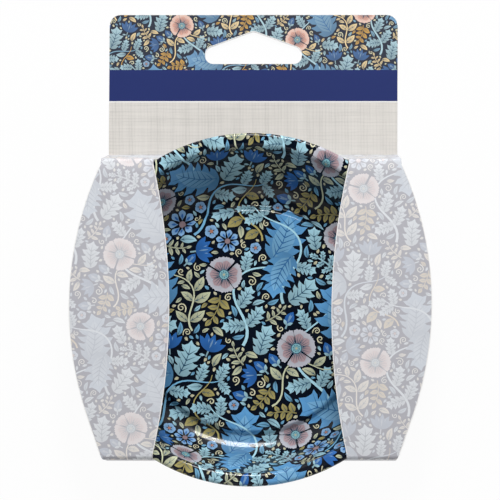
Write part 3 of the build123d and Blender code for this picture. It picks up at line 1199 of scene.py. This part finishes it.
class Section:
    """A bent section: where each length along it is, on the face and on the back."""

    def __init__(self, points, normals, start=0.0, lengths=None):
        steps = np.linalg.norm(np.diff(points, axis=0), axis=1)
        self.lengths = start + np.concatenate([[0], np.cumsum(steps)]) if lengths is None else lengths
        self.points = points
        self.normals = normals

    def at(self, lengths):
        """Places on the section at those lengths, and the unit normals there."""
        point = [np.interp(lengths, self.lengths, self.points[:, axis]) for axis in (0, 1)]
        normal = np.array([np.interp(lengths, self.lengths, self.normals[:, axis]) for axis in (0, 1)])
        return np.array(point), normal / np.linalg.norm(normal, axis=0)

    def folded(self, offset, side):
        """Puts flat points on the card's face or back: x stays, y runs along the section."""

        def put(points):
            point, normal = self.at(points[:, 1])
            place = point + normal * offset
            zeros = np.zeros(len(points))
            return (
                np.column_stack([points[:, 0], place[0], place[1]]),
                side * np.column_stack([zeros, normal[0], normal[1]]),
            )

        return put

    def turned(self, offset, side):
        """Puts flat points on the surface of revolution: their radius runs along the section."""

        def put(points):
            rho = np.hypot(points[:, 0], points[:, 1])
            way = points / np.maximum(rho, 1e-9)[:, None]
            point, normal = self.at(rho)
            place = point + normal * offset
            return (
                np.column_stack([way * np.maximum(place[0], 0)[:, None], place[1]]),
                side * np.column_stack([way * normal[0][:, None], normal[1]]),
            )

        return put


def dish_section(tin):
    """Middle of the tin sheet from the axis to the end of the curl."""
    half = tin.sheet / 2
    lean = math.radians(9)
    neck_run_share = 0.17
    curl_turn, curl_steps = math.radians(240), 12
    curl_centre = np.array([tin.rim_radius - half - tin.curl, tin.rim_top - half - tin.curl])
    curl_start = curl_centre + tin.curl * np.array([-math.sin(lean), math.cos(lean)])
    lip_z = curl_start[1] - (curl_start[0] - tin.lip_inner) * math.tan(lean)
    corners = [
        (0, tin.floor_level + half),
        (tin.floor_radius, tin.floor_level + half),
        (tin.foot_inner, tin.foot_level + half),
        (tin.foot_outer, tin.foot_level + half),
        (tin.lip_inner - tin.neck * neck_run_share, lip_z - tin.neck),
        (tin.lip_inner, lip_z),
        curl_start,
    ]
    radii = (tin.step_bend, tin.step_bend, tin.wall_bend, tin.neck_bend, tin.lip_bend)
    points, normals = bend_path(corners, radii)
    angles = math.pi / 2 + lean - np.linspace(0, curl_turn, curl_steps + 1)[1:]
    rays = np.column_stack([np.cos(angles), np.sin(angles)])
    return np.vstack([points, curl_centre + tin.curl * rays]), np.vstack([normals, rays])


def drawn_lengths(points):
    """Radius of the flat tin that each point of the drawn section came from: its area is kept."""
    ring = np.linalg.norm(np.diff(points, axis=0), axis=1) * (points[1:, 0] + points[:-1, 0]) / 2
    return np.sqrt(2 * np.concatenate([[0], np.cumsum(ring)]))


PRINTS = {}


def print_tile(inks):
    """The floral repeat, laid out once for every piece that is printed with it."""
    if inks.seed not in PRINTS:
        PRINTS[inks.seed] = floral_tile(inks.seed)
    return PRINTS[inks.seed]


def finished(piece, body, slot, *nodes):
    """Puts a piece on the body that it rides on and hides the nodes that it stands for; its slot is not used.
    """
    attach(piece, body)
    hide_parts(*nodes)
    return piece


def fold_lines(section):
    """Creases across a blank, one at each step of its bent section."""
    half = 80
    return [np.array([(-half, length), (half, length)]) for length in section.lengths[1:-1]]


class PINDISH_OT_press_dish(bpy.types.Operator):
    """Prints the flat tin and draws it into the dish with its step, sweep, lip and curled edge"""

    bl_idname = "pin_dish.press_dish"
    bl_label = "Press the dish"
    sides = 132

    def execute(self, context):
        tin = millimetres(context.scene.pin_dish_tin)
        inks = context.scene.pin_dish_inks
        points, normals = dish_section(tin)
        section = Section(points, normals, lengths=drawn_lengths(points))
        edge = section.lengths[-1]
        ring = np.linspace(0, 2 * math.pi, self.sides + 1)
        circle = np.column_stack([np.cos(ring), np.sin(ring)])
        creases = [circle * radius for radius in section.lengths[1:-1] if radius > 1]
        sheet = Sheet(circle[:-1] * edge, creases=creases)
        laid = spread(print_tile(inks), (-edge, -edge), (edge, edge), DISH_LAY)
        finishes = {"print": lacquered_print(), "back": tin_underside()}
        finishes["edge"] = finishes["back"]
        half = tin.sheet / 2
        piece = printed_piece(
            "pressed_dish",
            sheet,
            laid,
            Palette(inks, "dish"),
            section.turned(half, 1),
            section.turned(-half, -1),
            finishes,
        )
        finished(piece, "dish", "printed_tin", "dish_shell")
        return {"FINISHED"}


class PINDISH_OT_fit_base(bpy.types.Operator):
    """Finishes the magnet and makes the foam pad with its pressed edge"""

    bl_idname = "pin_dish.fit_base"
    bl_label = "Fit magnet and pad"
    sides = 160
    pocket_gap = 0.2
    pressed_edge = 0.45
    cut_bevel = 0.15

    def execute(self, context):
        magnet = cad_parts["magnet_disc"]
        magnet.data.materials.clear()
        magnet.data.materials.append(sintered_magnet())
        low, high = (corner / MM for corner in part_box("base_pad"))
        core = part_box("magnet_disc")[1].x / MM + self.pocket_gap
        top, pocket = high.z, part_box("magnet_disc")[0].z / MM
        section = [(0, low.z)]
        for angle in np.linspace(0, math.pi / 2, 6):
            inward, upward = 1 - math.sin(angle), 1 - math.cos(angle)
            section.append((high.x - self.pressed_edge * inward, low.z + self.pressed_edge * upward))
        section += [(high.x, top - self.cut_bevel), (high.x - self.cut_bevel, top)]
        section += [(core, top), (core, pocket), (0, pocket)]
        piece = lathe("foam_pad_disc", section, self.sides, cell_foam())
        finished(piece, "dish", "foam_pad", "base_pad")
        return {"FINISHED"}


def lathe(name, section, count, material):
    """A closed solid turned from half of its section, which starts and ends on the axis."""
    mesh = bpy.data.meshes.new(name)
    verts, rings = [], []
    for radius, z in section:
        first = len(verts)
        steps = count if radius > 0 else 1
        for step in range(steps):
            angle = 2 * math.pi * step / steps
            verts.append((radius * math.cos(angle) * MM, radius * math.sin(angle) * MM, z * MM))
        rings.append(list(range(first, first + steps)))
    faces = []
    for low, high in zip(rings, rings[1:]):
        for step in range(count):
            after = (step + 1) % count
            if len(low) == 1:
                faces.append((low[0], high[after], high[step]))
            elif len(high) == 1:
                faces.append((low[step], low[after], high[0]))
            else:
                faces.append((low[step], low[after], high[after], high[step]))
    mesh.from_pydata(verts, [], faces)
    mesh.materials.append(material)
    mesh.shade_smooth()
    mesh.set_sharp_from_angle(angle=math.radians(40))
    piece = bpy.data.objects.new(name, mesh)
    bpy.context.scene.collection.objects.link(piece)
    return piece


def wing_box(sleeve):
    """Corners of the right wing's box, but for its lower edge, where it runs into the bottom fold."""
    low, high = (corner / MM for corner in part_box("front_wing_right"))
    low.y = sleeve.wing_bottom
    return low, high


def wing_outline(sleeve):
    """Window edge and outer edge of the right wing, each from its top to its bottom."""
    low, high = wing_box(sleeve)
    waist = (sleeve.front_top + sleeve.front_bottom) / 2
    reach = (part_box("dish_shell")[1].x / MM + sleeve.rim_gap) ** 2
    window_top = math.sqrt(reach - sleeve.front_top**2)
    window_bottom = math.sqrt(reach - sleeve.front_bottom**2)
    window = arc_through((window_top, high.y), (low.x, waist), (window_bottom, low.y), 40)
    rise = high.y - sleeve.bulge_y
    flare = high.x - sleeve.top_corner
    radius = (rise**2 + flare**2) / (2 * flare)
    first, last = (math.asin(height / radius) for height in (rise, sleeve.straight_y - sleeve.bulge_y))
    angles = np.linspace(first, last, 40)
    swell_x = high.x - radius * (1 - np.cos(angles))
    outer = np.column_stack([swell_x, sleeve.bulge_y + radius * np.sin(angles)])
    outer = np.vstack([outer, [(sleeve.bottom_corner, low.y)]])
    return window, outer


class PINDISH_OT_print_wings(bpy.types.Operator):
    """Prints and cuts the two front wings, which dip a little towards their folds"""

    bl_idname = "pin_dish.print_wings"
    bl_label = "Print the front wings"
    # Print that stays nearer to the middle than this falls in the window
    window_half = 20

    def execute(self, context):
        sleeve = millimetres(context.scene.pin_dish_sleeve)
        inks = context.scene.pin_dish_inks
        low, high = wing_box(sleeve)
        section = wing_section(sleeve, low, high)
        window, outer = wing_outline(sleeve)
        laid = spread(print_tile(inks), (-high.x, low.y), (high.x, high.y), SLEEVE_LAY, inks.sleeve_scale)
        half = sleeve.card / 2
        for name, side in (("right", 1), ("left", -1)):
            inside, outside = window * (side, 1), outer * (side, 1)
            sheet = Sheet(np.vstack([inside[::-1], outside]), creases=fold_lines(section))
            bands = edge_bands(inside[::side], sleeve.cut_edge)
            bands += edge_bands(outside[::-side], sleeve.cut_edge)
            own = [ink for ink in laid if (ink.outline[:, 0] * side).max() > self.window_half]
            piece = printed_piece(
                f"printed_wing_{name}",
                sheet,
                own + bands,
                Palette(inks, "faded"),
                section.folded(half, 1),
                section.folded(-half, -1),
                card_finishes(),
                crushed=0.10,
            )
            finished(piece, "sleeve", "printed_card", f"front_wing_{name}")
        return {"FINISHED"}


def wing_section(sleeve, low, high):
    """Middle of the wings' card from the bottom fold to the top one."""
    reach = sleeve.sag_reach
    level_part, steps = 1.5, 7
    ends = np.linspace(0, reach - level_part, steps)
    ys = np.concatenate([low.y + ends, high.y - ends[::-1]])
    sag = np.where(ys > 0, sleeve.top_sag, -sleeve.bottom_sag)
    into = np.maximum(low.y + ends[-1] - ys, ys - high.y + ends[-1]).clip(0) / reach
    points = np.column_stack([ys, (low.z + high.z) / 2 - np.abs(sag) * into**2])
    normals = np.column_stack([2 * sag * into / reach, np.ones(len(ys))])
    return Section(points, normals / np.linalg.norm(normals, axis=1)[:, None], start=low.y)


def panel_section(sleeve, top):
    """Middle of an end panel's card, with its outside on the left, and the panel's folds."""
    low, high = wing_box(sleeve)
    wing = wing_section(sleeve, low, high)
    point, normal = wing.at(np.array([high.y if top else low.y]))
    point, slope = point[:, 0], -normal[0, 0] / normal[1, 0]
    fold_y = sleeve.front_top if top else sleeve.front_bottom
    fold = (fold_y, point[1] + slope * (fold_y - point[0]))
    card = sleeve.card
    if top:
        # The middle of the panel's end lies just under the face of the back's card, so no gap shows.
        foot = 0.9 * card
        lean = (sleeve.crease - fold_y) / fold[1]
        corners = [tuple(point), fold, (sleeve.crease - lean * foot, foot)]
        points, normals = bend_path(corners, (sleeve.fold,))
        return Section(points, normals, start=high.y)
    corners = [
        (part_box("bottom_panel")[1].y / MM, card / 2),
        (sleeve.back_bottom, card / 2),
        fold,
        tuple(point),
    ]
    points, normals = bend_path(corners, (card, sleeve.fold))
    length = np.linalg.norm(np.diff(points, axis=0), axis=1).sum()
    return Section(points, normals, start=low.y - length)


def panel_notch(sleeve, tin, section, top):
    """Half of the bite that the dish comes through: flat points from the fold in to the middle."""
    window, _ = wing_outline(sleeve)
    mouth = window[0 if top else -1][0]
    dish, dish_normals = dish_section(tin)
    room = dish - dish_normals * (tin.sheet / 2 + sleeve.rim_gap)
    rim_height, samples, bends = 1.5, 1200, 14
    is_wall = (room[:, 0] > tin.foot_outer) & (room[:, 1] < tin.rim_top - rim_height)
    wall = room[is_wall & (dish_normals[:, 0] < 0)]
    shelf = tin.rim_top - 2 * tin.curl - tin.sheet - sleeve.rim_gap
    lengths = np.linspace(section.lengths[0], section.lengths[-1], samples)
    spots, _ = section.at(lengths)
    order = lengths if top else lengths[::-1]
    spots = spots if top else spots[:, ::-1]
    half = []
    for y, z in spots.T:
        reach = np.interp(z, wall[:, 1], wall[:, 0]) ** 2 - y**2
        half.append(mouth if z > shelf else math.sqrt(max(reach, 0)))
    half = np.array(half)
    first = np.argmax(half < mouth)
    last = first + np.argmax(half[first:] <= 0)
    widths = np.linspace(half[first], 0, bends)
    curve = np.interp(-widths, -half[first:last + 1], order[first:last + 1])
    return np.vstack([[(mouth, order[0]), (mouth, order[first])], np.column_stack([widths, curve])])


class PINDISH_OT_fold_panels(bpy.types.Operator):
    """Prints and folds the end panels, with the bites that the dish comes through"""

    bl_idname = "pin_dish.fold_panels"
    bl_label = "Fold the end panels"
    # From the wing's end to the worn outside of the fold, along the card
    crease_run = 1.35
    # From the bottom fold's bend to where the card has the width of the back
    full_width = 1.2

    def execute(self, context):
        sleeve = millimetres(context.scene.pin_dish_sleeve)
        tin = millimetres(context.scene.pin_dish_tin)
        inks = context.scene.pin_dish_inks
        back_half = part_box("back_panel")[1].x / MM
        half = sleeve.card / 2
        chance = random.Random(inks.seed)
        for name, top, sign in (("top", True, 1), ("bottom", False, -1)):
            section = panel_section(sleeve, top)
            notch = panel_notch(sleeve, tin, section, top)
            ends = section.lengths[[0, -1]][::sign]
            corner = sleeve.top_corner if top else sleeve.bottom_corner
            side = [(corner, ends[0]), (back_half, ends[1])]
            if not top:
                side.insert(1, (back_half, ends[0] - sleeve.fold * 1.4 - self.full_width))
            side = np.array(side)
            outline = np.vstack([notch[::-1], side, side[::-1] * (-1, 1), (notch * (-1, 1))[:-1]])
            sheet = Sheet(outline, creases=fold_lines(section))
            bands = []
            for way in (1, -1):
                bands += edge_bands((notch * (way, 1))[:: sign * way], sleeve.cut_edge)
                bands += edge_bands((side * (way, 1))[:: -sign * way], sleeve.cut_edge)
            crease = ends[0] + sign * self.crease_run
            worn = worn_crease(chance, (notch[0][0], crease), (corner, crease), 16)
            worn += worn_crease(chance, (-corner, crease), (-notch[0][0], crease), 10)
            low, high = (-corner, min(ends)), (corner, max(ends))
            laid = spread(print_tile(inks), low, high, SLEEVE_LAY, inks.sleeve_scale)
            piece = printed_piece(
                f"folded_{name}_panel",
                sheet,
                laid + worn + bands,
                Palette(inks, "faded"),
                section.folded(half, 1),
                section.folded(-half, -1),
                card_finishes(),
                crushed=0.08,
            )
            finished(piece, "sleeve", "printed_card", f"{name}_panel")
        return {"FINISHED"}


def flat_card(height, mirror, side):
    """Puts flat points on a plane, seen from above or, mirrored, from below."""

    def put(points):
        zeros = np.zeros(len(points))
        way = -1 if mirror else 1
        return (
            np.column_stack([way * points[:, 0], points[:, 1], zeros + height]),
            np.column_stack([zeros, zeros, zeros + side]),
        )

    return put


def hang_hole(sleeve, peak):
    """Outline of the hole: a slot under a roof, whose rounded peak points at a height on the header."""
    shoulder, foot = peak - sleeve.hole_roof, peak - sleeve.hole_height
    half, corner, top = sleeve.hole_half, 2.4, 2.0
    corners = [(half, foot), (half, shoulder), (0, peak), (-half, shoulder), (-half, foot)]
    return rounded_loop(corners, (corner, corner, top, corner, corner))


def card_zone(half, low, high, tone):
    """A printed zone right across a card, with some overrun at its sides."""
    wide = half + 2
    return Ink([(-wide, low), (wide, low), (wide, high), (-wide, high)], tone, 1)


def hung_card_edges(outline, hole, low):
    """White cut edges of a card that hangs from a hole, but for the edge where it is creased."""
    width = 0.16
    cut = [point for point in outline if point[1] > low + 0.01]
    return edge_bands(cut, width) + edge_bands(hole[::-1], width, closed=True)


class PINDISH_OT_print_header(bpy.types.Operator):
    """Prints the header's strip, band and linen ground, and the back of the sleeve"""

    bl_idname = "pin_dish.print_header"
    bl_label = "Print the header"

    def execute(self, context):
        sleeve = millimetres(context.scene.pin_dish_sleeve)
        inks = context.scene.pin_dish_inks
        low, high = (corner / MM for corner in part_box("header_front"))
        hole = hang_hole(sleeve, high.y - sleeve.hole_drop)
        navy = navy_ink(inks)
        self.front(sleeve, inks, low, high, hole, navy)
        low, high = (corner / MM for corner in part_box("back_panel"))
        self.back(sleeve, inks, low, high, hole, navy)
        return {"FINISHED"}

    def front(self, sleeve, inks, low, high, hole, navy):
        """The header's front layer: a strip of the print, the band and the linen ground."""
        radius, line_low = sleeve.header_corner, sleeve.navy_low - sleeve.white_line
        outline = rounded_box(high.x, low.y, high.y, (0, radius, radius, 0))
        floral_low, floral_high = (-high.x, sleeve.navy_high), (high.x, high.y)
        laid = spread(print_tile(inks), floral_low, floral_high, HEADER_LAY, inks.header_scale)
        laid += [
            card_zone(high.x, low.y - 2, line_low, "linen"),
            card_zone(high.x, line_low, sleeve.navy_low, "white"),
            card_zone(high.x, sleeve.navy_low, sleeve.navy_high, "navy"),
        ]
        piece = printed_piece(
            "printed_header",
            Sheet(outline, [hole]),
            laid + hung_card_edges(outline, hole, low.y),
            Palette(inks, "header"),
            flat_card(high.z, False, 1),
            flat_card(low.z, False, -1),
            {**card_finishes(), "linen": linen_print(inks), "navy": navy},
            crushed=0.08,
        )
        finished(piece, "sleeve", "header_card", "header_front")

    def back(self, sleeve, inks, low, high, hole, navy):
        """The back panel: a faded print with a bare label's place and the band."""
        label_half, label_low, label_high, label_corner = 34, -30, 44, 3
        radius, line = sleeve.header_corner, sleeve.white_line
        outline = rounded_box(high.x, low.y, high.y, (0, radius, radius, 0))
        laid = spread(print_tile(inks), low.xy, high.xy, SLEEVE_LAY, inks.sleeve_scale)
        laid += [
            Ink(rounded_box(label_half, label_low, label_high, [label_corner] * 4), "white", 1),
            card_zone(high.x, sleeve.navy_low - line, sleeve.navy_high + line, "white"),
            card_zone(high.x, sleeve.navy_low, sleeve.navy_high, "navy"),
        ]
        piece = printed_piece(
            "printed_back",
            Sheet(outline, [hole]),
            laid + hung_card_edges(outline, hole, low.y),
            Palette(inks, "faded"),
            flat_card(low.z, True, -1),
            flat_card(high.z, True, 1),
            {**card_finishes(), "navy": navy},
        )
        finished(piece, "sleeve", "back_card", "back_panel")


class PINDISH_OT_set_stage(bpy.types.Operator):
    """Lays the floor, hangs the lamps and sets the camera above the dish"""

    bl_idname = "pin_dish.set_stage"
    bl_label = "Set the stage"
    # Where each lamp hangs and how wide its disc is, and what they are aimed at, in metres
    key = ((0.03, 0.46, 0.50), 0.22)
    fill = ((-0.10, -0.55, 0.75), 0.60)
    aim = Vector((0, 0.01, 0.01))

    def execute(self, context):
        stage = context.scene.pin_dish_stage
        mesh = bpy.data.meshes.new("floor")
        reach, gap = 12.0, 0.0004
        corners = [(-reach, -reach, 0), (reach, -reach, 0), (reach, reach, 0), (-reach, reach, 0)]
        mesh.from_pydata(corners, [], [(0, 1, 2, 3)])
        floor = bpy.data.objects.new("floor", mesh)
        floor.location.z = cad_box[0].z - gap
        context.scene.collection.objects.link(floor)
        mesh.materials.append(self.floor_finish(stage))
        self.lamp("key_lamp", *self.key, stage.key_watts)
        self.lamp("fill_lamp", *self.fill, stage.fill_watts)
        self.room(context, stage)
        self.camera(context, stage)
        return {"FINISHED"}

    def floor_finish(self, stage):
        """Pale floor that the camera sees as white, but for some of the shadow on it."""
        material = bpy.data.materials.new("pale_floor")
        material.use_nodes = True
        wiring = Wiring(material.node_tree)
        path = wiring.node("ShaderNodeLightPath", output="Is Camera Ray")
        glossy = Value(wiring, path.socket.node.outputs["Is Glossy Ray"])
        through = Value(wiring, path.socket.node.outputs["Is Transmission Ray"])
        seen = (path + glossy + through) * (1 - stage.shadow)
        cloud = wiring.noise(3.0)
        paint = wiring.mixed(cloud, (0.80, 0.80, 0.80, 1), (0.84, 0.84, 0.84, 1))
        diffuse = wiring.node("ShaderNodeBsdfDiffuse", {}, {"Color": paint})
        white = wiring.node("ShaderNodeEmission", {}, {"Color": (1, 1, 1, 1), "Strength": 1.0})
        shown = wiring.node("ShaderNodeMixShader", {}, {0: seen, 1: diffuse, 2: white})
        wiring.node("ShaderNodeOutputMaterial", {}, {"Surface": shown})
        return material

    def lamp(self, name, place, width, watts):
        light = bpy.data.lights.new(name, "AREA")
        light.shape, light.size, light.energy = "DISK", width, watts
        lamp = bpy.data.objects.new(name, light)
        lamp.location = place
        lamp.rotation_euler = (self.aim - Vector(place)).to_track_quat("-Z", "Y").to_euler()
        lamp.visible_camera = False
        bpy.context.scene.collection.objects.link(lamp)

    def room(self, context, stage):
        """Light from all round, stronger from the header's side, which the camera sees as white."""
        world = bpy.data.worlds.new("studio")
        world.use_nodes = True
        wiring = Wiring(world.node_tree)
        path = wiring.node("ShaderNodeLightPath", output="Is Camera Ray")
        through = Value(wiring, path.socket.node.outputs["Is Transmission Ray"])
        seen = wiring.node("ShaderNodeMath", {"operation": "ADD", "use_clamp": True}, {0: path, 1: through})
        way = wiring.node("ShaderNodeTexCoord", output="Generated")
        height = wiring.node("ShaderNodeSeparateXYZ", {}, {0: way}, "Z")
        headward = wiring.node("ShaderNodeSeparateXYZ", {}, {0: way}, "Y")
        walls = (1 - height**2.0 * (1 - stage.ceiling)) * (1 + headward * stage.header_side)
        walls = walls * stage.room_light
        strength = seen + (1 - seen) * walls
        white = wiring.node("ShaderNodeBackground", {}, {"Color": (1, 1, 1, 1), "Strength": strength})
        wiring.node("ShaderNodeOutputWorld", {}, {"Surface": white})
        context.scene.world = world

    def camera(self, context, stage):
        """Looks down from the foot of the sleeve, and a little from the right."""
        up = Vector((0, math.cos(stage.tilt), math.sin(stage.tilt)))
        aside, ahead = math.sin(stage.turn), math.cos(stage.turn)
        across = Vector((ahead, aside * math.tan(stage.tilt), -aside))
        right = (across - up * across.dot(up)).normalized()
        back = right.cross(up)
        data = bpy.data.cameras.new("camera")
        data.lens, data.clip_end = stage.lens, 100.0
        camera = bpy.data.objects.new("camera", data)
        middle = Vector((stage.view_x, stage.view_y, stage.view_z))
        spot = middle + back * (stage.view_width * stage.lens / data.sensor_width)
        camera.matrix_world = Matrix.Translation(spot) @ Matrix((right, up, back)).transposed().to_4x4()
        context.scene.collection.objects.link(camera)
        context.scene.camera = camera
        context.scene.view_settings.view_transform = "Standard"


OPERATORS = (
    PINDISH_OT_set_stage,
    PINDISH_OT_press_dish,
    PINDISH_OT_fit_base,
    PINDISH_OT_print_wings,
    PINDISH_OT_fold_panels,
    PINDISH_OT_print_header,
)
GROUPS = {
    "pin_dish_tin": PinDishTin,
    "pin_dish_sleeve": PinDishSleeve,
    "pin_dish_inks": PinDishInks,
    "pin_dish_stage": PinDishStage,
}


class PINDISH_PT_panel(bpy.types.Panel):
    """Lists the sizes and the steps that make the dish"""

    bl_idname = "PINDISH_PT_panel"
    bl_label = "Pin dish"
    bl_space_type = "VIEW_3D"
    bl_region_type = "UI"
    bl_category = "Pin dish"

    def draw(self, context):
        for key in GROUPS:
            group = getattr(context.scene, key)
            box = self.layout.box()
            # The first two are the ones that every group has.
            for name in group.bl_rna.properties.keys()[2:]:
                box.prop(group, name)
        for operator in OPERATORS:
            self.layout.operator(operator.bl_idname)


def register():
    for kind in (*GROUPS.values(), *OPERATORS, PINDISH_PT_panel):
        bpy.utils.register_class(kind)
    for key, kind in GROUPS.items():
        setattr(bpy.types.Scene, key, PointerProperty(type=kind))


def unregister():
    for key in GROUPS:
        delattr(bpy.types.Scene, key)
    for kind in reversed((*GROUPS.values(), *OPERATORS, PINDISH_PT_panel)):
        bpy.utils.unregister_class(kind)


def main():
    register()
    for operator in OPERATORS:
        group, name = operator.bl_idname.split(".")
        getattr(getattr(bpy.ops, group), name)()


if __name__ == "__main__":
    main()
